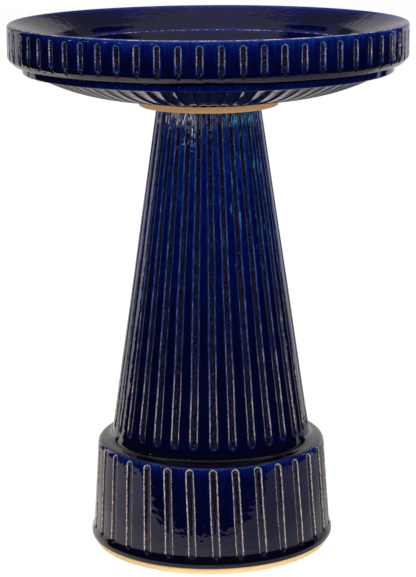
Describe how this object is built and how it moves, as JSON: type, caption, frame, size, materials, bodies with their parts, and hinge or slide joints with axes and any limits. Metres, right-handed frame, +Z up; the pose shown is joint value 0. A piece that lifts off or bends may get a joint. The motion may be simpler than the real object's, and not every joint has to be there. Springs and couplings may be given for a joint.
{
  "type": "bird bath",
  "caption": "Glazed stoneware bird bath: a shallow fluted bowl that rests on, and lifts off, a hollow fluted pedestal with a drum-shaped base.",
  "frame": {"origin": "centre of the pedestal's foot, on the ground", "axes": "+Z up along the axis of the bath, -Y towards the front, +X to the right seen from the front"},
  "size_m": [0.52, 0.52, 0.698],
  "materials": {
    "cobalt_glaze": "gloss"
  },
  "bodies": {
    "pedestal": {"pedestal": "cobalt_glaze"},
    "bowl": {"bowl": "cobalt_glaze"}
  },
  "joints": [
    {"name": "bowl_lift", "type": "slide", "parent": "pedestal", "child": "bowl", "axis": [0, 0, 1], "range_m": [0, 0.15]}
  ]
}
